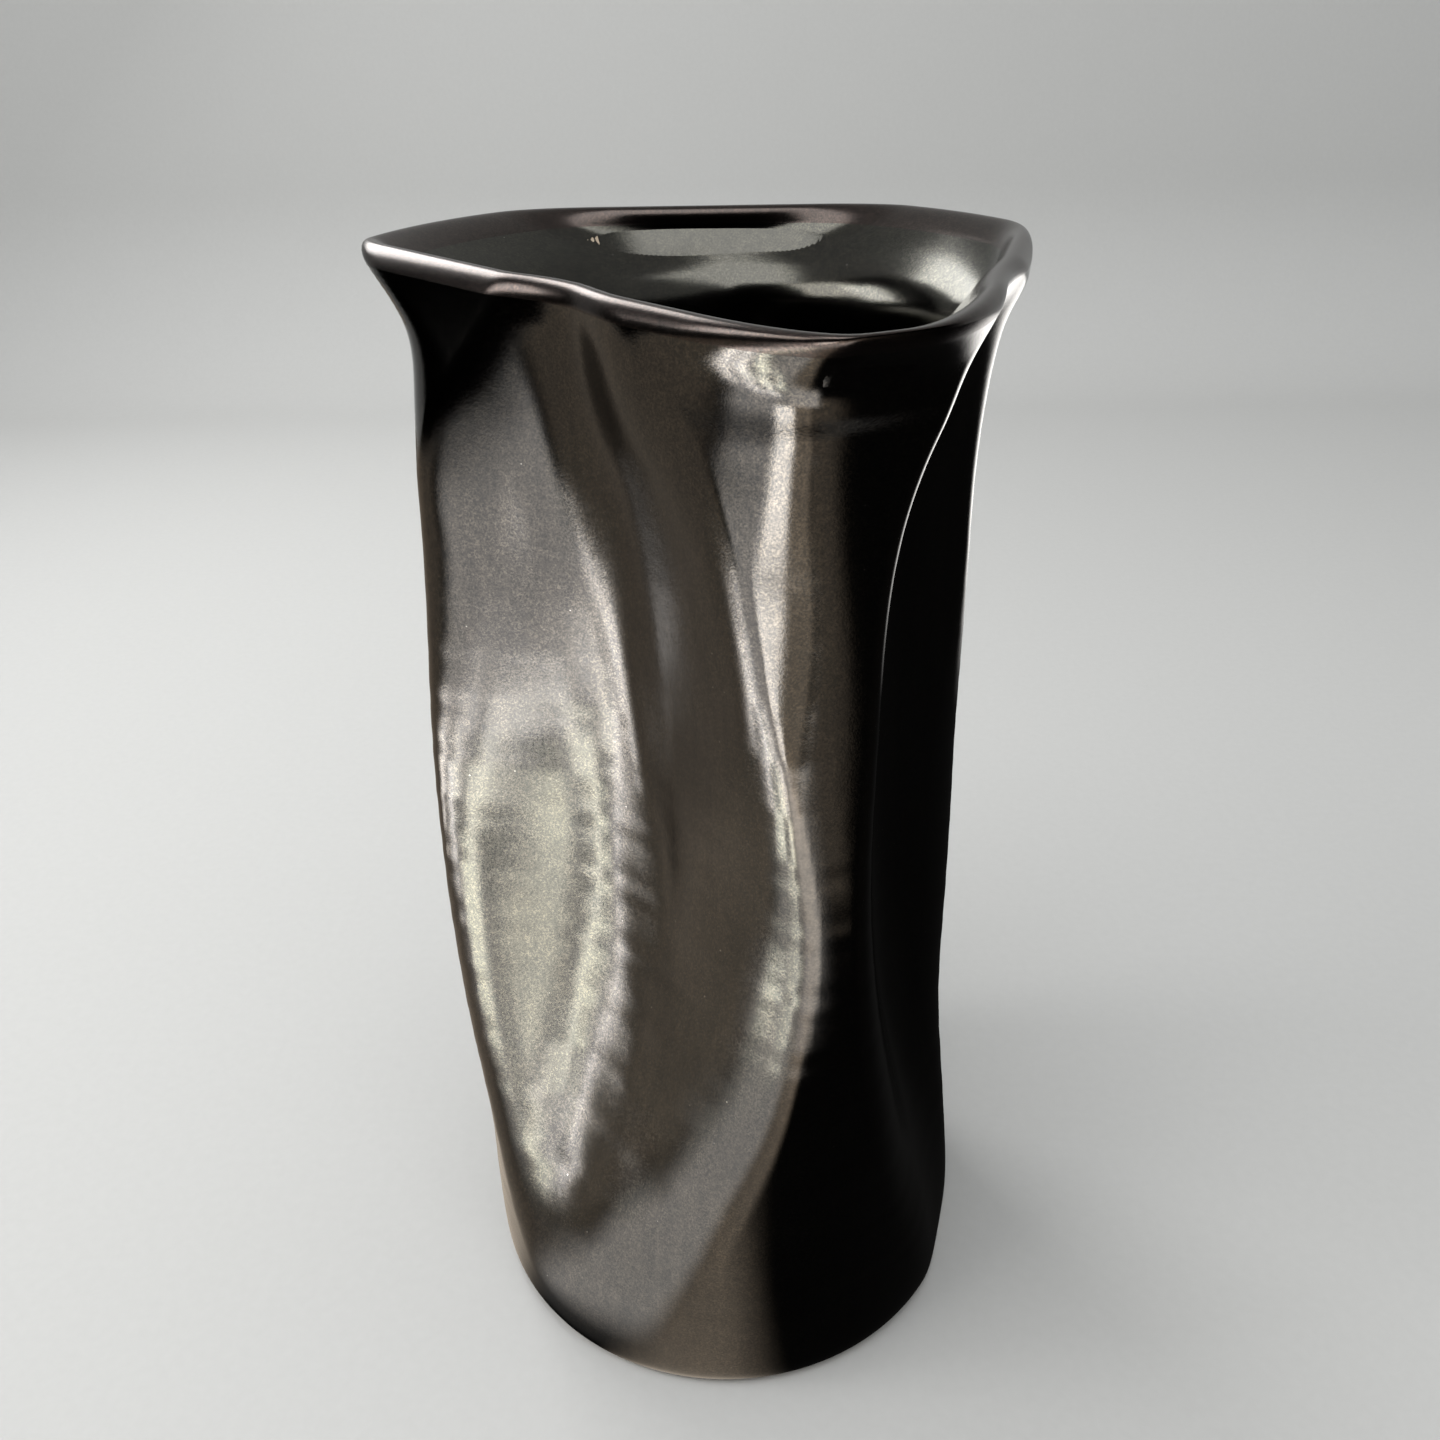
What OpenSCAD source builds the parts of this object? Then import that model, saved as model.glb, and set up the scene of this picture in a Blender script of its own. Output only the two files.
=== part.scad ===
// A wheel-thrown clay vase whose three sides were pushed in by hand, which leaves three soft columns
// and a rounded three-cornered mouth. The clay carries a thin coat of dark glaze inside and outside.
// Distances are in millimetres, azimuths in degrees anticlockwise from +X, and every level is a share
// of the height, from 0 at the foot to 1 at the lip.

/* [Vase] */
// Height from the foot to the top of the lip
vase_h = 205; // [170:1:240]
// Thickness of the wall with its glaze
wall_t = 4.6; // [4:0.1:6]
// Thickness of the glaze coats
glaze_t = 0.5; // [0.3:0.1:0.8]

/* [Thrown profile] */
// Radius of the thrown cylinder at the foot
foot_r = 49.6; // [46:0.1:52]
// Largest radius of the columns, below the middle
belly_r = 53.5; // [51:0.1:56]
// Radius of the columns under the lip
neck_r = 47.8; // [46:0.1:50]
// Slope of the flared lip, outward per height
flare_slope = 1.48; // [1.2:0.01:1.6]
// Level where the lip starts to flare
flare_level = 0.953; // [0.94:0.001:0.96]
// How far the mouth leans towards +Y
mouth_lean = 5.4; // [0:0.1:7]
// How far the mouth leans towards -X
side_lean = 1.5; // [0:0.1:3]

/* [Foot and floor] */
// Height of the bare band at the bottom of the foot ring
bare_h = 1.2; // [0.8:0.1:2]
// Height of the foot ring
foot_h = 2.5; // [2.2:0.1:3]
// Inner radius of the foot ring
foot_inner_r = 38; // [34:0.5:40]
// Height of the upper face of the clay floor
floor_h = 8; // [7:0.5:10]
// Height of the rounded part of the lip
lip_h = 3; // [2.5:0.1:4]

/* [Mesh] */
// Points around the vase
around = 64; // [48:4:72]
// Rings of points up the wall
rings = 20; // [16:1:22]
// Points over the rounded lip
lip_points = 5; // [3:2:5]

/* [Hidden] */
pool_h = floor_h + 0.8;
lip_base = vase_h - lip_h;

// Each side was pushed in as a valley of two flat faces, and the wall above it leans in as a collar.
// A valley face is [azimuth it faces, least distance from the axis, level of that least distance,
// growth below that level, power of that growth, growth above it, power of that growth].
// A collar face is [azimuth it faces at the lip, turn per height below, distance, growth per height].
// The last list is how softly, at the first and at the second face, the valley meets the columns above,
// then below, and how softly the collar meets them at the lip.
front = [[260, 18.3, 0.61, 141, 3, 26, 3], [214.5, 22.2, 0.575, 116, 2, 141, 3],
         [227.5, 21, 22.8, 51], [223, 88, 30.5, 46], [12, 4, 9, 20, 6, 16]];
right = [[2, 22.9, 0.63, 69, 2, 1200, 4], [319.5, 25.6, 0.6, 101, 3, 574, 4],
         [352, 0, 41.4, 31], [344, 0, 47, 22.5], [6, 4, 12, 12, 14, 6]];
back = [[122, 23.6, 0.62, 113, 2, 820, 3], [92, 23.6, 0.6, 133, 3, 820, 3],
        [112, 0, 40, 10], [90, 0, 58.3, 10], [12, 12, 12, 12, 6, 6]];
sides = [front, right, back];

// A soft step from 0 at level a to 1 at level b
function step(a, b, x) = let (t = min(1, max(0, (x - a) / (b - a)))) t * t * (3 - 2 * t);
function blend(a, b, t) = a + (b - a) * t;
// The smaller and the larger of two numbers, rounded over where they are within k of each other
function soft_min(a, b, k) = let (h = max(k - abs(a - b), 0) / k) min(a, b) - h * h * k / 4;
function soft_max(a, b, k) = -soft_min(-a, -b, k);
// An angle between -180 and 180
function wrapped(angle) = angle - 360 * floor((angle + 180) / 360);

// Radius of the thrown pot before its sides were pushed in
function thrown_r(az, t) =
    let (body = foot_r + (belly_r - foot_r) * step(-0.1, 0.48, t) + (neck_r - belly_r) * step(0.4, 1.05, t),
         heel = -1.8 * exp(-t / 0.008) - 1.2 * exp(-pow((t - 0.2) / 0.1, 2)),
         rise = (t - flare_level) * vase_h,
         flare = flare_slope * (sqrt(rise * rise + 17) + rise) / 2,
         lean = step(0.92, 1, t) * (mouth_lean * sin(az) - side_lean * cos(az)))
    body + heel + flare + lean;

// Radius at which a flat face d from the axis and facing an azimuth is met
function flat_r(az, facing, d) = d / max(cos(az - facing), 0.12);
function valley_r(az, t, face, inset) =
    flat_r(az, face[0], face[1] + face[3] * pow(max(face[2] - t, 0), face[4])
                        + face[5] * pow(max(t - face[2], 0), face[6]) - inset);
function collar_r(az, t, face, inset) =
    flat_r(az, face[0] + face[1] * (1 - t), face[2] + face[3] * (1 - t) - inset);

// Radius once the sides from number i on are pushed in, for a face that lies inset under the surface
function pushed_r(az, t, inset, r, i = 0) =
    i == len(sides) ? r :
    let (side = sides[i],
         soft = side[4],
         crisp = step(0.5, 0.75, t),
         valley = soft_max(valley_r(az, t, side[0], inset), valley_r(az, t, side[1], inset), 10),
         collar = soft_max(collar_r(az, t, side[2], inset), collar_r(az, t, side[3], inset), 4),
         past_middle = wrapped(az - (side[0][0] + side[1][0] - (side[1][0] > 300 ? 360 : 0)) / 2),
         second_share = step(-17, 17, past_middle),
         edge = blend(blend(soft[2], soft[0], crisp), blend(soft[3], soft[1], crisp), second_share),
         lip_edge = blend(soft[4], soft[5], second_share),
         under_collar = soft_min(r, collar, blend(10, lip_edge, step(0.85, 1, t))))
    pushed_r(az, t, inset, soft_min(under_collar, valley, edge), i + 1);

// A point of the wall at a height, inset under its outer face
function wall_point(az, z, inset) =
    let (r = pushed_r(az, z / vase_h, inset, thrown_r(az, z / vase_h) - inset))
    [r * cos(az), r * sin(az), z];

// Heights of the rings between the floor and the lip, closer together at both ends
function ring_z(i) = floor_h + (lip_base - floor_h) * (i / rings - 0.06 * sin(360 * i / rings));
wall_z = [for (i = [1 : rings]) ring_z(i)];
outer_z = concat([bare_h, foot_h, floor_h], wall_z);
inner_z = concat([pool_h], wall_z);
function reversed(list) = [for (i = [len(list) - 1 : -1 : 0]) list[i]];

// [height, inset] down or up one face, and over the rounded lip from the outside to the inside
function face_section(heights, inset) = [for (z = heights) [z, inset]];
function lip_section(cover) =
    [for (i = [0 : lip_points + 1]) let (a = 180 * i / (lip_points + 1))
        [lip_base + (lip_h - cover) * sin(a), wall_t / 2 - (wall_t / 2 - cover) * cos(a)]];

// A closed ring whose section is a loop of [height, inset] points, swept around the wall.
// The split of each four-cornered patch leans the same way on faces that touch.
module wall_ring(section) {
    n = len(section);
    points = [for (j = [0 : around - 1]) for (p = section) wall_point(360 * j / around, p[0], p[1])];
    faces = [for (j = [0 : around - 1]) for (m = [0 : n - 1])
        let (k = (j + 1) % around, q = (m + 1) % n,
             a = j * n + m, b = k * n + m, c = k * n + q, d = j * n + q,
             rising = section[q][0] > section[m][0])
        each (rising ? [[a, c, b], [a, d, c]] : [[a, d, b], [b, d, c]])];
    polyhedron(points, faces);
}

// A closed disc inside the wall, through the given heights from the bottom up
module wall_disc(heights, inset) {
    n = len(heights);
    points = [for (z = heights) for (j = [0 : around - 1]) wall_point(360 * j / around, z, inset)];
    sides_faces = [for (i = [0 : n - 2]) for (j = [0 : around - 1])
        let (k = (j + 1) % around, a = i * around + j, b = i * around + k)
        each [[a, b + around, b], [a, a + around, b + around]]];
    bottom = [for (j = [0 : around - 1]) j];
    top = [for (j = [around - 1 : -1 : 0]) (n - 1) * around + j];
    polyhedron(points, concat(sides_faces, [bottom, top]));
}

// The thrown and pushed-in clay wall, which stands on the floor slab
module clay_wall() {
    color("#b9aa94") wall_ring(concat(
        face_section([floor_h], glaze_t),
        face_section([for (i = [0 : rings - 2]) wall_z[i]], glaze_t),
        lip_section(glaze_t),
        face_section(reversed([for (i = [0 : rings - 2]) wall_z[i]]), wall_t - glaze_t),
        face_section([pool_h, floor_h], wall_t - glaze_t)));
}

// The clay slab under the wall, whose middle reaches down inside the foot ring
module base_slab() {
    color("#b9aa94") union() {
        wall_disc([foot_h, floor_h], glaze_t);
        cylinder(r = foot_inner_r, h = foot_h, $fn = 96);
    }
}

// The turned ring of pale bare clay around the bottom
module foot_ring() {
    color("#d8cbb4") difference() {
        wall_disc([0, bare_h, foot_h], glaze_t);
        translate([0, 0, -1]) cylinder(r = foot_inner_r, h = foot_h + 2, $fn = 96);
    }
}

// The glaze on the outside, from above the bare band to the start of the rounded lip
module outer_glaze() {
    color("#2b2724") wall_ring(concat(face_section(outer_z, 0), face_section(reversed(outer_z), glaze_t)));
}

// The glaze that lines the inside of the wall
module inner_glaze() {
    color("#24221f") wall_ring(concat(
        face_section(inner_z, wall_t - glaze_t), face_section(reversed(inner_z), wall_t)));
}

// The pool of glaze on the inside floor
module floor_glaze() {
    color("#24221f") wall_disc([floor_h, pool_h], wall_t - glaze_t);
}

// The roll of glaze over the lip, which joins the two coats
module lip_glaze() {
    color("#55504a") wall_ring(concat(lip_section(0), reversed(lip_section(glaze_t))));
}

clay_wall();
base_slab();
foot_ring();
outer_glaze();
inner_glaze();
floor_glaze();
lip_glaze();
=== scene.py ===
"""The looks of a black-glazed, wheel-thrown vase whose three sides were pushed in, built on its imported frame.

The wall follows the same formula as the CAD part, in millimetres and degrees, on a much finer grid. Levels
run from 0 at the foot to 1 at the lip. Every CAD node is replaced by a finer piece: clay wall, floor slab,
bare foot band, outer glaze with its throwing rings, inner glaze, floor pool and the glaze over the lip.
"""

import math

import bpy
import numpy as np
from mathutils import Matrix, Vector


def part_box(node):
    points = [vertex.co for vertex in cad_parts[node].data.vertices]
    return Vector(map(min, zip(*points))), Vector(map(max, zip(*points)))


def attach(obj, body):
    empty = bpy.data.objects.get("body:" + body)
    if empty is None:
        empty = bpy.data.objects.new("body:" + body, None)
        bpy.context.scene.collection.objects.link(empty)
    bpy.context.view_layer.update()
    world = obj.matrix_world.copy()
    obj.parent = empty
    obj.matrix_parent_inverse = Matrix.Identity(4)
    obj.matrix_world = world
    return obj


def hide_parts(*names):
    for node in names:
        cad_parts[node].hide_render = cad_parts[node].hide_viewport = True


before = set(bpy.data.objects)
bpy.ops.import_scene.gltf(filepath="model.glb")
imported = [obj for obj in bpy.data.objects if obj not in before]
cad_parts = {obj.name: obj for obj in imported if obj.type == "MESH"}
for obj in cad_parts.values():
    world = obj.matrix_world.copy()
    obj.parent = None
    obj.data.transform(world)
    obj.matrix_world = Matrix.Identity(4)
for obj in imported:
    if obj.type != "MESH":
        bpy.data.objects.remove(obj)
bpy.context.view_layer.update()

MM = 0.001  # the formulas work in millimetres, Blender in metres


def top_mm(node):
    return round(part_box(node)[1].z / MM, 2)


def bottom_mm(node):
    return round(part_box(node)[0].z / MM, 2)


# Heights that the frame gives, in millimetres
VASE_H = top_mm("lip_glaze")
LIP_BASE = top_mm("outer_glaze")
LIP_H = VASE_H - LIP_BASE
BARE_H = bottom_mm("outer_glaze")
FOOT_H = top_mm("foot_ring")
FLOOR_H = top_mm("base_slab")
POOL_H = top_mm("floor_glaze")

# Thicknesses and radii, in millimetres
WALL_T = 4.6
GLAZE_T = 0.5
FOOT_INNER_R = 38
FOOT_R = 49.6
BELLY_R = 53.5
NECK_R = 47.8

# The mouth's flare, outward per height, its level, and how far the mouth leans in millimetres
FLARE_SLOPE = 1.48
FLARE_LEVEL = 0.953
MOUTH_LEAN = 5.4  # towards +Y
SIDE_LEAN = 1.5  # towards -X

# ---------------------------------------------------------------- the surface

# A valley face is (azimuth it faces, least distance from the axis, level of that distance, growth below,
# its power, growth above, its power). A collar face is (azimuth at the lip, turn per height below, distance,
# growth per height). The last six are how softly, at the first and at the second face, the valley meets the
# columns above, then below, and how softly the collar meets them at the lip.
FRONT = ((260, 18.3, 0.61, 141, 3, 26, 3), (214.5, 22.2, 0.575, 116, 2, 141, 3),
         (227.5, 21, 22.8, 51), (223, 88, 30.5, 46), (12, 4, 9, 20, 6, 16))
RIGHT = ((2, 22.9, 0.63, 69, 2, 1200, 4), (319.5, 25.6, 0.6, 101, 3, 574, 4),
         (352, 0, 41.4, 31), (344, 0, 47, 22.5), (6, 4, 12, 12, 14, 6))
BACK = ((122, 23.6, 0.62, 113, 2, 820, 3), (92, 23.6, 0.6, 133, 3, 820, 3),
        (112, 0, 40, 10), (90, 0, 58.3, 10), (12, 12, 12, 12, 6, 6))


def step(a, b, x):
    """A soft step from 0 at a to 1 at b."""
    t = np.clip((x - a) / (b - a), 0, 1)
    return t * t * (3 - 2 * t)


def mix(a, b, t):
    return a + (b - a) * t


def soft_min(a, b, k):
    """The smaller of two numbers, rounded over where they are within k of each other."""
    h = np.maximum(k - np.abs(a - b), 0) / k
    return np.minimum(a, b) - h * h * k / 4


def soft_max(a, b, k):
    return -soft_min(-a, -b, k)


def cosd(a):
    return np.cos(np.radians(a))


def sind(a):
    return np.sin(np.radians(a))


def wrapped(angle):
    """The angle between -180 and 180."""
    return angle - 360 * np.floor((angle + 180) / 360)


def thrown_r(az, t):
    """Radius of the thrown pot before its sides were pushed in."""
    body = FOOT_R + (BELLY_R - FOOT_R) * step(-0.1, 0.48, t) + (NECK_R - BELLY_R) * step(0.4, 1.05, t)
    heel = -1.8 * np.exp(-t / 0.008) - 1.2 * np.exp(-(((t - 0.2) / 0.1) ** 2))
    above = (t - FLARE_LEVEL) * VASE_H
    flare = FLARE_SLOPE * (np.sqrt(above * above + 17) + above) / 2
    lean = step(0.92, 1, t) * (MOUTH_LEAN * sind(az) - SIDE_LEAN * cosd(az))
    return body + heel + flare + lean


def flat_r(az, facing, distance):
    """Radius at which a flat face at a distance from the axis is met."""
    return distance / np.maximum(cosd(az - facing), 0.12)


def valley_r(az, t, face, inset):
    facing, least, level, below, below_power, above, above_power = face
    distance = least + below * np.maximum(level - t, 0) ** below_power
    distance = distance + above * np.maximum(t - level, 0) ** above_power
    return flat_r(az, facing, distance - inset)


def collar_r(az, t, face, inset):
    facing, turn, distance, growth = face
    return flat_r(az, facing + turn * (1 - t), distance + growth * (1 - t) - inset)


def wall_r(az, z, inset):
    """Radius of the pushed-in wall at azimuths and heights, inset under its outer face."""
    t = z / VASE_H
    r = thrown_r(az, t) - inset
    crisp = step(0.5, 0.75, t)
    for first, second, high, low, soft in (FRONT, RIGHT, BACK):
        valley = soft_max(valley_r(az, t, first, inset), valley_r(az, t, second, inset), 10)
        collar = soft_max(collar_r(az, t, high, inset), collar_r(az, t, low, inset), 4)
        turned = 360 if second[0] > 300 else 0
        past_middle = wrapped(az - (first[0] + second[0] - turned) / 2)
        side = step(-17, 17, past_middle)
        edge = mix(mix(soft[2], soft[0], crisp), mix(soft[3], soft[1], crisp), side)
        r = soft_min(r, collar, mix(10, mix(soft[4], soft[5], side), step(0.85, 1, t)))
        r = soft_min(r, valley, edge)
    return r


COARSE_RING = 0.04  # relief of the throwing rings, in millimetres
FINE_RING = 0.01


def throwing_rings(az, z):
    """Height of the soft spiral ridges that fingers leave in the clay, in millimetres."""
    t = z / VASE_H
    turn = az / 360
    coarse = np.sin(2 * np.pi * (z / 8.3 + turn + 0.35 * np.sin(z / 17)))
    fine = np.sin(2 * np.pi * (z / 4.9 + turn + 0.5 * np.sin(z / 23 + 1)))
    wander = 0.5 + 0.5 * np.sin(3 * np.radians(az) + z / 31)
    strength = step(0.02, 0.15, t) * (1 - 0.75 * step(0.62, 0.8, t)) * (1 - step(0.93, 0.97, t))
    return strength * (COARSE_RING * coarse * (0.5 + 0.5 * wander) + FINE_RING * fine)


def hand_waves(az, z):
    """Broad unevenness left by the hands, in millimetres."""
    a = np.radians(az)
    calm = step(0, 0.1, z / VASE_H)
    waves = 0.12 * np.sin(4 * a + z / 19 + 1) + 0.1 * np.sin(7 * a - z / 13)
    return calm * (waves + 0.08 * np.sin(11 * a + z / 9 + 2))


# ---------------------------------------------------------------- meshes

AROUND = 360  # points around the vase


def azimuths():
    return np.arange(AROUND) * (360 / AROUND)


def row_at(radius, z):
    """One ring of points at a height."""
    a = azimuths()
    return np.stack([radius * cosd(a), radius * sind(a), z * np.ones(AROUND)], axis=1)


def face_rows(levels, inset, relief=None):
    """Rings at the given heights up or down one face of the wall, with relief added outwards."""
    a = azimuths()
    return np.array([row_at(wall_r(a, z, inset) + (relief(a, z) if relief else 0), z) for z in levels])


def lip_rows(cover, count):
    """Rings over the rounded lip, from the outside to the inside, cover under its surface."""
    rows = []
    for i in range(count + 1):
        turn = 180 * i / count
        z = LIP_BASE + (LIP_H - cover) * sind(turn)
        rows.append(row_at(wall_r(azimuths(), z, WALL_T / 2 - (WALL_T / 2 - cover) * cosd(turn)), z))
    return np.array(rows)


def normals_of(rows):
    """Unit normals of a swept surface. They point outwards where the rings run upwards."""
    along = np.roll(rows, -1, axis=1) - np.roll(rows, 1, axis=1)
    normals = np.cross(along, np.gradient(rows, axis=0))
    return normals / np.maximum(np.linalg.norm(normals, axis=2, keepdims=True), 1e-9)


def convexity(rows):
    """How sharply the wall bends outwards, from 0 to 1. Glaze runs thin on such edges."""
    reach = 2
    left, right = np.roll(rows, reach, axis=1), np.roll(rows, -reach, axis=1)
    bend = np.sum((left + right - 2 * rows) * normals_of(rows), axis=2)
    half = np.linalg.norm(right - left, axis=2) / 2
    return step(0.1, 0.35, -bend / np.maximum(half, 1e-9) ** 2)


def ring_faces(n_rows, closed=True):
    """Quads that join ring to ring and, if closed, the last ring to the first."""
    faces = []
    for row in range(n_rows if closed else n_rows - 1):
        a, b = row * AROUND, (row + 1) % n_rows * AROUND
        for j in range(AROUND):
            k = (j + 1) % AROUND
            faces.append((a + j, a + k, b + k, b + j))
    return faces


def disc_faces(n_rows):
    """Rings joined by quads, with fans that close the first and the last ring at two middle points."""
    low, high, last = n_rows * AROUND, n_rows * AROUND + 1, (n_rows - 1) * AROUND
    faces = ring_faces(n_rows, closed=False)
    for j in range(AROUND):
        k = (j + 1) % AROUND
        faces += [(low, k, j), (high, last + j, last + k)]
    return faces


def make_piece(name, points, faces, node, material, normals=None, edge=0, lip=0):
    """A piece in place of one CAD node, on the only body. With normals its shading is smooth, else flat."""
    mesh = bpy.data.meshes.new(name)
    mesh.from_pydata((points.reshape(-1, 3) * MM).tolist(), [], faces)
    for key, values in (("edge", edge), ("lip", lip)):
        layer = mesh.attributes.new(key, "FLOAT", "POINT")
        spread = np.broadcast_to(np.ravel(values), len(mesh.vertices))
        layer.data.foreach_set("value", spread.astype(np.float32))
    if normals is not None:
        mesh.polygons.foreach_set("use_smooth", [True] * len(mesh.polygons))
        mesh.normals_split_custom_set_from_vertices(normals.reshape(-1, 3).tolist())
    mesh.update()
    piece = bpy.data.objects.new(name, mesh)
    bpy.context.scene.collection.objects.link(piece)
    piece.data.materials.append(material)
    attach(piece, "root")
    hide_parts(node)


def make_coat(name, shown, normals, hidden, node, material, edge, lip):
    """A closed skin of glaze: shown is its visible face and hidden the face on the clay."""
    none = np.zeros(hidden.shape[:2])
    points = np.concatenate([shown, hidden])
    make_piece(name, points, ring_faces(len(points)), node, material,
               normals=np.concatenate([normals, normals_of(hidden)]),
               edge=np.concatenate([edge, none]), lip=np.concatenate([lip, none]))


RELIEF_FADE = 4  # millimetres over which relief dies out where a coat meets its neighbours


def relief_share(z, low):
    """1 along a coat, and 0 at its low end and at the lip."""
    return step(low, low + RELIEF_FADE, z) * (1 - step(LIP_BASE - RELIEF_FADE, LIP_BASE, z))


def outer_relief(az, z):
    """Throwing rings, which pressing softened, and the waves left by the hands."""
    pressed = step(0, 8, thrown_r(az, z / VASE_H) - wall_r(az, z, 0))
    return relief_share(z, BARE_H) * (throwing_rings(az, z) * mix(1, 0.4, pressed) + hand_waves(az, z))


def inner_relief(az, z):
    """Rings on the inner face, with the fillet of glaze that pools where the wall meets the floor."""
    rings = -0.7 * throwing_rings(az, z + 3) - 0.5 * hand_waves(az, z)
    fillet = 2.2 * np.exp(-(z - POOL_H) / 1.6)
    return rings * relief_share(z, POOL_H) - fillet


def heights(start, end, count):
    """Evenly spaced heights from start to end."""
    return [start + (end - start) * i / count for i in range(count + 1)]


# ---------------------------------------------------------------- materials

class Nodes:
    """A short way to write a node tree."""

    def __init__(self, name):
        self.material = bpy.data.materials.new(name)
        self.material.use_nodes = True
        self.tree = self.material.node_tree
        self.shader = self.tree.nodes["Principled BSDF"]
        self.object = self.tree.nodes.new("ShaderNodeTexCoord").outputs["Object"]

    def add(self, kind, inputs=(), **settings):
        node = self.tree.nodes.new(kind)
        for key, value in settings.items():
            setattr(node, key, value)
        for key, value in dict(inputs).items():
            if isinstance(value, bpy.types.NodeSocket):
                self.tree.links.new(value, node.inputs[key])
            else:
                node.inputs[key].default_value = value
        return node

    def noise(self, scale, detail=2, roughness=0.5, stretch=(1, 1, 1)):
        """Noise with the given number of features per metre."""
        mapped = self.add("ShaderNodeMapping", {"Vector": self.object, "Scale": stretch}).outputs[0]
        inputs = {"Vector": mapped, "Scale": scale, "Detail": detail, "Roughness": roughness}
        return self.add("ShaderNodeTexNoise", inputs).outputs["Fac"]

    def spots(self, scale, low, high):
        """Small round spots: 1 in their middle and 0 outside."""
        cells = self.add("ShaderNodeTexVoronoi", {"Vector": self.object, "Scale": scale}).outputs["Distance"]
        return self.span(cells, low, high, 1, 0)

    def span(self, value, low, high, to_low=0, to_high=1):
        """Maps low..high to to_low..to_high, held at both ends."""
        return self.add("ShaderNodeMapRange", {"Value": value, "From Min": low, "From Max": high,
                                               "To Min": to_low, "To Max": to_high}).outputs[0]

    def maths(self, operation, a, b):
        return self.add("ShaderNodeMath", {0: a, 1: b}, operation=operation).outputs[0]

    def blend(self, factor, a, b):
        node = self.add("ShaderNodeMix", {0: factor}, data_type="RGBA")
        for index, value in ((6, a), (7, b)):
            if isinstance(value, bpy.types.NodeSocket):
                self.tree.links.new(value, node.inputs[index])
            else:
                node.inputs[index].default_value = (*value, 1)
        return node.outputs[2]

    def attribute(self, name):
        return self.add("ShaderNodeAttribute", attribute_name=name).outputs["Fac"]

    def bump(self, height, distance, strength=1, under=None):
        inputs = {"Height": height, "Distance": distance, "Strength": strength}
        if under is not None:
            inputs["Normal"] = under
        return self.add("ShaderNodeBump", inputs).outputs[0]

    def join(self, **sockets):
        for key, value in sockets.items():
            self.tree.links.new(value, self.shader.inputs[key.replace("_", " ")])
        return self.material


def glaze(name, deep, warm, thin, warm_share, gloss):
    """Gunmetal glaze: a metallic black-brown skin of fine specks, warmer where it breaks near the lip, greyer
    and lighter where it runs thin over edges."""
    n = Nodes(name)
    n.shader.inputs["Metallic"].default_value = 1
    speck = n.span(n.noise(2700, 3, 0.7), 0.38, 0.62)
    grain = n.span(n.noise(900, 2, 0.6), 0.35, 0.65)
    cloud = n.span(n.noise(38, 3, 0.6), 0.35, 0.68)
    streak = n.span(n.noise(420, 2, 0.5, stretch=(1, 1, 0.12)), 0.4, 0.7)
    edge = n.attribute("edge")
    lip = n.attribute("lip")
    mottle = n.maths("MULTIPLY", speck, n.span(grain, 0, 1, 0.45, 1))
    mottle = n.maths("MULTIPLY", mottle, n.span(cloud, 0, 1, 0.6, 1))
    share = n.maths("MULTIPLY", mottle, n.span(lip, 0, 1, warm_share, 1))
    share = n.maths("ADD", share, n.maths("MULTIPLY", streak, 0.12))
    colour = n.blend(share, deep, warm)
    worn = n.maths("MULTIPLY", edge, n.span(n.noise(900, 3, 0.6), 0.3, 0.65, 0.55, 1))
    colour = n.blend(worn, colour, thin)
    pins = n.maths("MULTIPLY", n.spots(260, 0.028, 0.05), n.span(n.noise(90, 1), 0.5, 0.58))
    colour = n.blend(n.maths("MULTIPLY", pins, 0.7), colour, (0.4, 0.38, 0.35))
    roughness = n.maths("ADD", n.span(cloud, 0, 1, gloss, gloss + 0.03), n.maths("MULTIPLY", mottle, 0.03))
    roughness = n.maths("ADD", roughness, n.maths("MULTIPLY", edge, 0.05))
    wavy, rough = 0.00001, 0.000003  # relief in metres
    skin = n.bump(n.noise(520, 2, 0.5), wavy)
    skin = n.bump(speck, rough, under=skin)
    return n.join(Base_Color=colour, Roughness=roughness, Normal=skin)


def clay(name, pale, dark):
    """Bare fired clay: fine grains, a few dark specks and faint turning marks."""
    n = Nodes(name)
    n.shader.inputs["IOR"].default_value = 1.45
    grain = n.span(n.noise(2600, 4, 0.7), 0.3, 0.7)
    cloud = n.span(n.noise(60, 3, 0.6), 0.3, 0.7)
    turning = n.noise(900, 2, 0.5, stretch=(0.15, 0.15, 1))
    colour = n.blend(n.maths("MULTIPLY", grain, n.span(cloud, 0, 1, 0.4, 1)), dark, pale)
    colour = n.blend(n.spots(700, 0.1, 0.16), colour, (0.12, 0.08, 0.05))
    roughness = n.span(grain, 0, 1, 0.75, 0.9)
    marks, rough = 0.0001, 0.00005  # relief in metres
    skin = n.bump(turning, marks, 0.6)
    skin = n.bump(grain, rough, under=skin)
    return n.join(Base_Color=colour, Roughness=roughness, Normal=skin)


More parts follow.
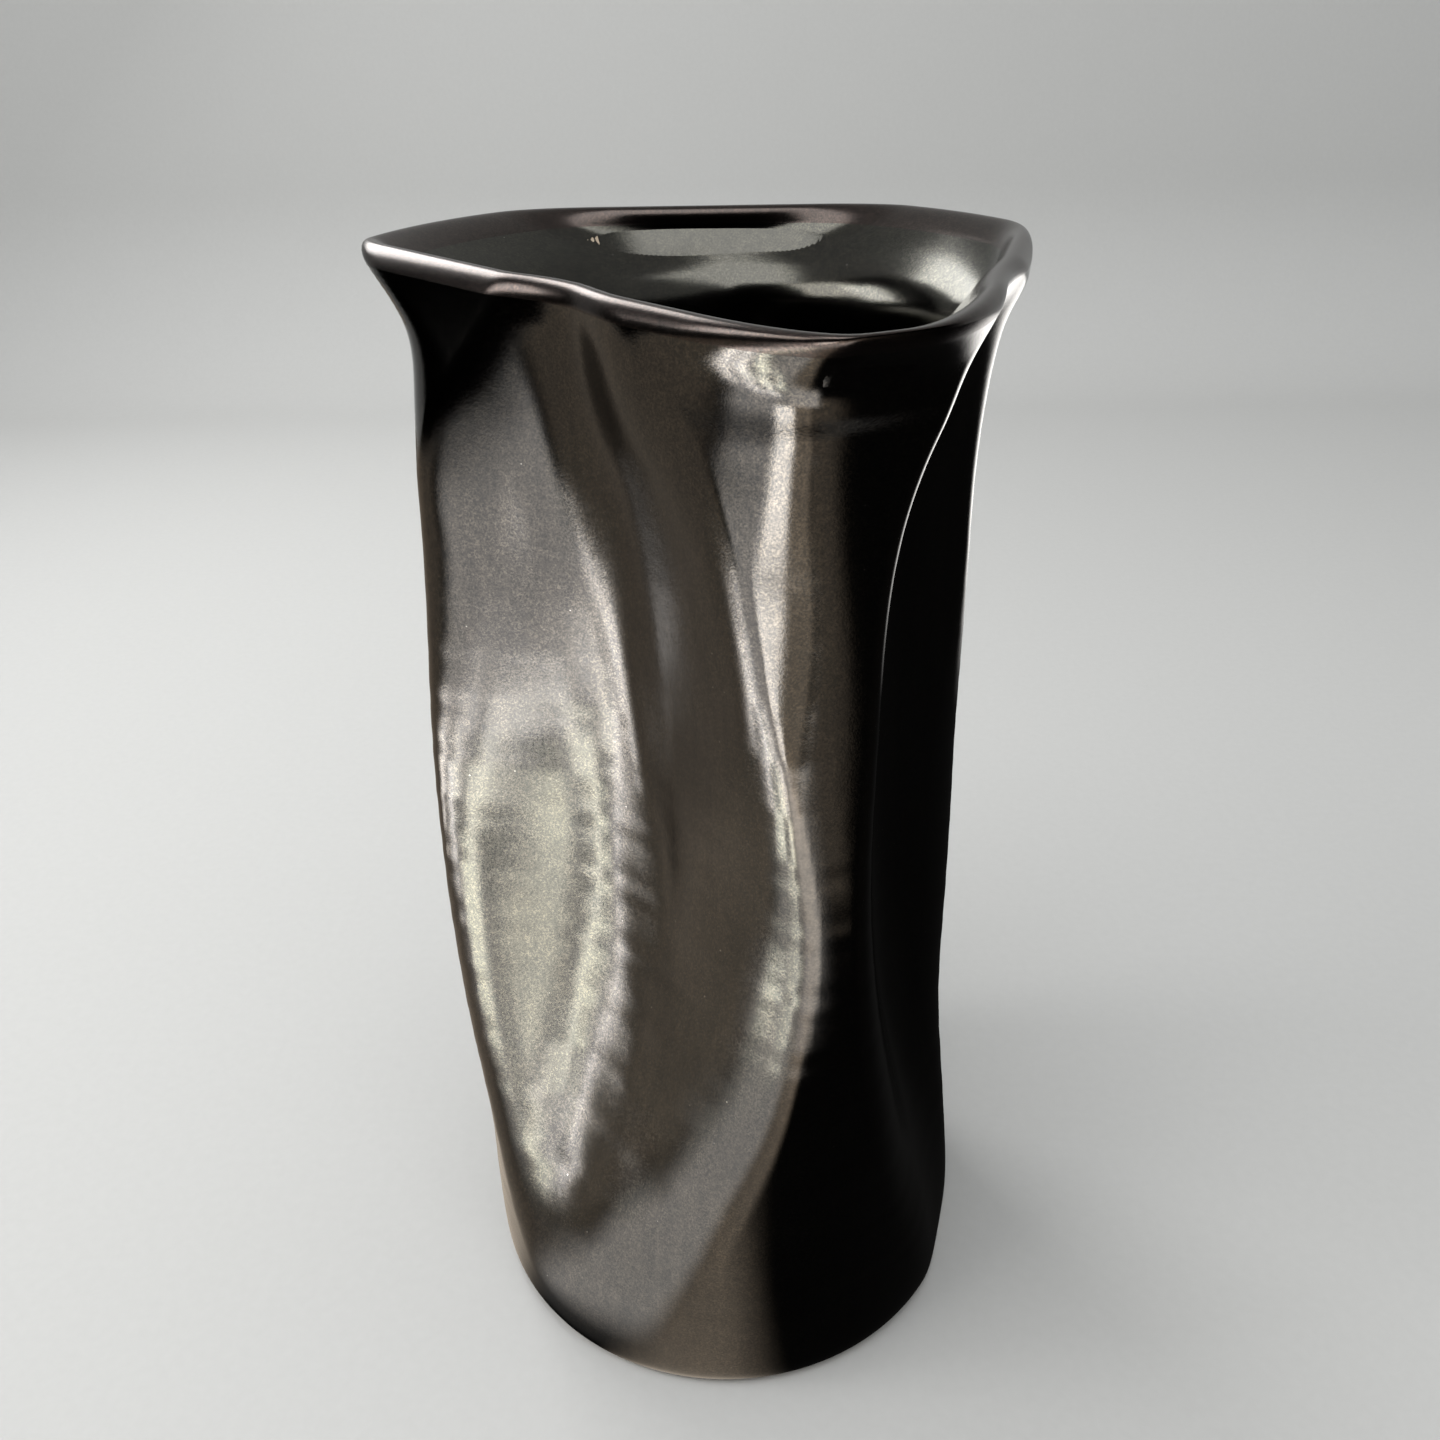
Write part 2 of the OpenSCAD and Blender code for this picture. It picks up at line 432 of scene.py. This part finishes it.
def make_materials():
    thin, thin_lip = (0.17, 0.15, 0.13), (0.12, 0.1, 0.09)
    return {
        "dark_glaze": glaze("dark_glaze", (0.06, 0.059, 0.058), (0.15, 0.135, 0.117), thin, 0.8, 0.08),
        "liner_glaze": glaze("liner_glaze", (0.06, 0.06, 0.055), (0.12, 0.115, 0.095), thin, 0.6, 0.12),
        "lip_glaze": glaze("lip_glaze", (0.05, 0.045, 0.042), (0.11, 0.085, 0.075), thin_lip, 1, 0.2),
        "bare_foot": clay("bare_foot", (0.62, 0.52, 0.4), (0.42, 0.33, 0.24)),
        "clay": clay("clay", (0.5, 0.42, 0.32), (0.34, 0.27, 0.2)),
    }


# ---------------------------------------------------------------- the vase

def build_glaze(materials):
    """The outer coat, the lip roll and the inner coat. Their visible faces are one continuous skin."""
    outer = face_rows(heights(BARE_H, LIP_BASE, 230), 0, outer_relief)
    lip = lip_rows(0, 24)
    inner = face_rows(heights(LIP_BASE, POOL_H, 190), WALL_T, inner_relief)
    skin = np.concatenate([outer, lip[1:-1], inner])
    normals = normals_of(skin)
    edge = convexity(skin)
    near_lip = step(0.9, 1, skin[:, :, 2] / VASE_H)
    lip_start, lip_end = len(outer) - 1, len(outer) + len(lip) - 2
    outer_hidden = face_rows(heights(LIP_BASE, BARE_H, 30), GLAZE_T)
    lip_hidden = lip_rows(GLAZE_T, 12)[::-1]
    inner_hidden = face_rows(heights(POOL_H, LIP_BASE, 30), WALL_T - GLAZE_T)
    coats = (
        ("outer_coat", "outer_glaze", "dark_glaze", 0, lip_start, outer_hidden),
        ("lip_roll", "lip_glaze", "lip_glaze", lip_start, lip_end, lip_hidden),
        ("inner_coat", "inner_glaze", "liner_glaze", lip_end, len(skin) - 1, inner_hidden),
    )
    for name, node, finish, start, end, hidden in coats:
        shown = slice(start, end + 1)
        make_coat(name, skin[shown], normals[shown], hidden, node, materials[finish],
                  edge[shown], near_lip[shown])


def build_floor_pool(material):
    """The pool of glaze on the inside floor, in rings that narrow to the middle."""
    rows = face_rows([FLOOR_H, POOL_H], WALL_T - GLAZE_T)
    rim = rows[-1]
    rows = np.concatenate([rows, [rim * (share, share, 1) for share in (0.75, 0.5, 0.25)]])
    points = np.concatenate([rows.reshape(-1, 3), [[0, 0, FLOOR_H], [0, 0, POOL_H]]])
    make_piece("floor_pool", points, disc_faces(len(rows)), "floor_glaze", material)


def build_wall(material):
    """The clay wall under the glaze."""
    outer = face_rows(heights(FLOOR_H, LIP_BASE, 40)[:-1], GLAZE_T)
    inner = face_rows(heights(LIP_BASE, FLOOR_H, 40)[1:], WALL_T - GLAZE_T)
    rows = np.concatenate([outer, lip_rows(GLAZE_T, 12), inner])
    make_piece("thrown_wall", rows, ring_faces(len(rows)), "clay_wall", material, normals_of(rows))


def build_slab(material):
    """The clay floor, whose middle reaches down inside the bare band."""
    centre = np.array([row_at(FOOT_INNER_R, 0), row_at(FOOT_INNER_R, FOOT_H)])
    rows = np.concatenate([centre, face_rows(heights(FOOT_H, FLOOR_H, 3), GLAZE_T)])
    points = np.concatenate([rows.reshape(-1, 3), [[0, 0, 0], [0, 0, FLOOR_H]]])
    make_piece("floor_slab", points, disc_faces(len(rows)), "base_slab", material)


def build_foot(material):
    """The bare band around the foot, with a rounded lower edge."""
    bevel, count = 0.5, 6
    rows = [row_at(FOOT_INNER_R, FOOT_H), row_at(FOOT_INNER_R, bevel), row_at(FOOT_INNER_R + bevel, 0)]
    for i in range(count + 1):
        turn = 90 * i / count
        radius = wall_r(azimuths(), BARE_H * i / count, GLAZE_T) - bevel * (1 - sind(turn))
        rows.append(row_at(radius, bevel * (1 - cosd(turn))))
    rows = np.concatenate([rows, face_rows(heights(BARE_H, FOOT_H, 3), GLAZE_T)])
    make_piece("foot_band", rows, ring_faces(len(rows)), "foot_ring", material)


# ---------------------------------------------------------------- the studio

def pale_paper():
    """Matt paper without gloss, so that it doesn't mirror the painted reflection sheet's glow."""
    pale, roughness = (0.52, 0.52, 0.51), 0.8
    n = Nodes("pale_paper")
    n.shader.inputs["Specular IOR Level"].default_value = 0
    grain = n.noise(400, 3, 0.6)
    tone = n.blend(n.span(grain, 0.3, 0.7), tuple(0.97 * c for c in pale), pale)
    return n.join(Base_Color=tone, Roughness=n.span(grain, 0.3, 0.7, roughness, roughness + 0.05))


def build_stage():
    """A pale table and a pale wall behind it, as one sheet with a rounded corner, in metres."""
    half, near, back, up, bend, count = 1.6, -1.6, 0.75, 1.6, 0.12, 12
    profile = [(near, 0.0)]
    for i in range(count + 1):
        turn = math.radians(90 * i / count)
        profile.append((back - bend + bend * math.sin(turn), bend - bend * math.cos(turn)))
    profile.append((back, up))
    points = [(x, y, z) for y, z in profile for x in (-half, half)]
    faces = [(2 * i, 2 * i + 1, 2 * i + 3, 2 * i + 2) for i in range(len(profile) - 1)]
    mesh = bpy.data.meshes.new("table_and_wall")
    mesh.from_pydata(points, [], faces)
    mesh.polygons.foreach_set("use_smooth", [True] * len(mesh.polygons))
    sheet = bpy.data.objects.new("table_and_wall", mesh)
    bpy.context.scene.collection.objects.link(sheet)
    sheet.data.materials.append(pale_paper())


WHITE, WARM_WHITE = (1, 1, 1), (1, 0.98, 0.95)

# Soft light cards: name, place and target in metres, width, height, radiance, colour
CARDS = (
    ("high_card", (-0.45, -0.25, 0.6), (0, 0, 0.15), 0.3, 0.3, 4, WARM_WHITE),
    ("left_card", (-0.6, -0.07, 0.56), (0, 0, 0.2), 0.18, 0.32, 7, WHITE),
    ("rear_card", (-0.36, 0.47, 0.58), (0, 0, 0.2), 0.28, 0.34, 8, WHITE),
    ("overhead_card", (-0.13, -0.28, 1.1), (0, 0, 0.2), 0.5, 0.65, 3, WHITE),
    ("ceiling_card", (0, 0, 1.7), (0, 0, 0), 2.2, 2.2, 0.35, WHITE),
)


def add_card(name, place, target, width, height, radiance, colour):
    """A rectangular light, which the camera doesn't see."""
    data = bpy.data.lights.new(name, "AREA")
    data.shape = "RECTANGLE"
    data.size, data.size_y = width, height
    data.energy = radiance * math.pi * width * height
    data.color = colour
    card = bpy.data.objects.new(name, data)
    bpy.context.scene.collection.objects.link(card)
    card.location = place
    card.rotation_euler = (Vector(target) - Vector(place)).to_track_quat("-Z", "Y").to_euler()
    card.visible_camera = False


def build_lights():
    """The cards and an even room light, which the glaze doesn't mirror."""
    for card in CARDS:
        add_card(*card)
    world = bpy.data.worlds.new("room")
    bpy.context.scene.world = world
    world.use_nodes = True
    world.node_tree.nodes["Background"].inputs["Color"].default_value = (0.9, 0.92, 0.93, 1)
    world.node_tree.nodes["Background"].inputs["Strength"].default_value = 0.68
    world.cycles_visibility.glossy = False
    bpy.context.scene.view_settings.view_transform = "Standard"


def between(value, low, high, soft):
    """1 between low and high and 0 outside, with soft borders."""
    return step(low - soft, low + soft, value) * (1 - step(high - soft, high + soft, value))


def painted_window_reflection(az, distance, near):
    """A painted reflection of a window to the left with leaves before it: its light, and the green share of
    that light.
    """
    far = step(0.28, 0.37, distance)
    pane = between(az, 203, 242, 8) * (1 - near) + between(az, 187, 206, 7) * step(0.2, 0.25, distance)
    # the left part of the pane ends at a slanting border
    inside = step(-0.02, 0.02, 0.3 + 0.004 * (az - 187) - distance)
    strength = mix(7.5, 2, far) * mix(1, 0.35, step(0.5, 1.1, distance))
    leaves = step(-0.25, 0.25, sind(az * 13 + 900 * distance) * sind(5000 * distance - 4 * az))
    dappled = mix(mix(0.15, 1.5, leaves), 1, far)
    green = leaves * (1 - step(0.2, 0.3, distance)) * step(206, 212, az) * 0.7
    return pane * np.maximum(inside, step(208, 216, az)) * strength * dappled, green


def painted_room_reflection(az, distance, near):
    """A painted reflection of the dim warm light of a room: broad to the rear left, in stripes and close by at
    the front.
    """
    room = between(az, 125, 205, 8) * 0.38 + between(az, 165, 212, 8) * near * 0.2
    stripe = between(az, 256, 282, 4) * step(0.3, 0.4, distance) * 1.1
    fine_stripes = between(az, 282, 313, 3) * (0.4 + 0.2 * sind(az * 90)) * step(0.2, 0.3, distance)
    apron = between(az, 246, 275, 10) * near * 0.9
    return room + stripe + fine_stripes + apron


def painted_reflection_glow(az, distance):
    """Red, green and blue of the painted reflection that the glaze mirrors, as a dark table lit from the left,
    by azimuth and distance in metres.
    """
    near = 1 - step(0.15, 0.2, distance)
    window, green = painted_window_reflection(az, distance, near)
    # painted highlights: pools of light close to the foot, far off at the front, nearer beside that, and behind
    # the vase, placed for the glaze's foot, front streak, crease and back
    foot = between(az, 212, 246, 7) * near * step(0.052, 0.068, distance) * 1.8
    streak = between(az, 240, 257, 3) * step(0.38, 0.5, distance) * 9
    crease = between(az, 246, 298, 8) * between(distance, 0.17, 0.4, 0.03) * 2.4
    rear = between(az, 45, 112, 8) * step(0.25, 0.5, distance) * 2.5
    darkest = 0.012
    parts = (
        (foot + streak + crease + rear + darkest, (1, 0.98, 0.95)),
        (window * (1 - green), (1, 0.99, 0.98)),
        (window * green, (0.98, 1.02, 0.82)),
        (painted_room_reflection(az, distance, near), (1, 0.86, 0.7)),
    )
    return sum(np.multiply.outer(light, np.array(colour)) for light, colour in parts)


def glow_material():
    """Gives off the painted reflection that is stored at the points of the painted reflection sheet: a glow,
    not a lamp.
    """
    n = Nodes("painted_reflection_glow")
    glow = n.add("ShaderNodeAttribute", attribute_name="glow").outputs["Color"]
    n.tree.nodes.remove(n.shader)
    emission = n.add("ShaderNodeEmission", {"Color": glow})
    n.tree.links.new(emission.outputs[0], n.tree.nodes["Material Output"].inputs["Surface"])
    return n.material


def build_painted_reflection_sheet():
    """A painted reflection sheet that only reflections see, like a studio's cards and flags: it glows with no
    lamp, dark as a table but with a window's light painted on the left.
    """
    level = 0.0005  # metres above the paper
    distances = np.concatenate([np.linspace(1.5, 0.42, 28), np.linspace(0.4, 0.03, 75)])
    az, distance = np.meshgrid(azimuths(), distances)
    points = np.stack([distance * cosd(az), distance * sind(az), np.full_like(az, level)], axis=2)
    mesh = bpy.data.meshes.new("painted_reflection_sheet")
    mesh.from_pydata(points.reshape(-1, 3).tolist(), [], ring_faces(len(distances), closed=False))
    colours = np.ones((az.size, 4), dtype=np.float32)
    # painted reflection: each point's glow colour is computed here, not lit by any lamp
    colours[:, :3] = painted_reflection_glow(az.ravel(), distance.ravel())
    layer = mesh.attributes.new("glow", "FLOAT_COLOR", "POINT")
    layer.data.foreach_set("color", colours.ravel())
    table = bpy.data.objects.new("painted_reflection_sheet", mesh)
    bpy.context.scene.collection.objects.link(table)
    table.data.materials.append(glow_material())
    table.visible_camera = table.visible_diffuse = table.visible_shadow = False


# The camera's place in heights of the vase, its angles in degrees, and its lens and sensor in millimetres
CAMERA_BACK, CAMERA_UP = 1.062, 1.187
CAMERA_PITCH, CAMERA_ROLL = 28.97, 0.876
CAMERA_LENS, CAMERA_SENSOR = 33.53, 36


def build_camera():
    """Looks down at the vase from the front, rolled a little, as a hand-held camera is."""
    height = VASE_H * MM
    pitch, roll = math.radians(CAMERA_PITCH), math.radians(CAMERA_ROLL)
    data = bpy.data.cameras.new("camera")
    data.sensor_width = CAMERA_SENSOR
    data.lens = CAMERA_LENS
    data.clip_start, data.clip_end = 0.01, 20
    camera = bpy.data.objects.new("camera", data)
    bpy.context.scene.collection.objects.link(camera)
    ahead = Vector((0, math.cos(pitch), -math.sin(pitch)))
    side, up = Vector((1, 0, 0)), Vector((0, math.sin(pitch), math.cos(pitch)))
    rolled_side = side * math.cos(roll) - up * math.sin(roll)
    rolled_up = side * math.sin(roll) + up * math.cos(roll)
    turned = Matrix((rolled_side, rolled_up, -ahead)).transposed().to_4x4()
    place = Matrix.Translation((0, -CAMERA_BACK * height, CAMERA_UP * height))
    camera.matrix_world = place @ turned
    bpy.context.scene.camera = camera


materials = make_materials()
build_glaze(materials)
build_floor_pool(materials["liner_glaze"])
build_wall(materials["clay"])
build_slab(materials["clay"])
build_foot(materials["bare_foot"])
build_stage()
build_painted_reflection_sheet()
build_lights()
build_camera()
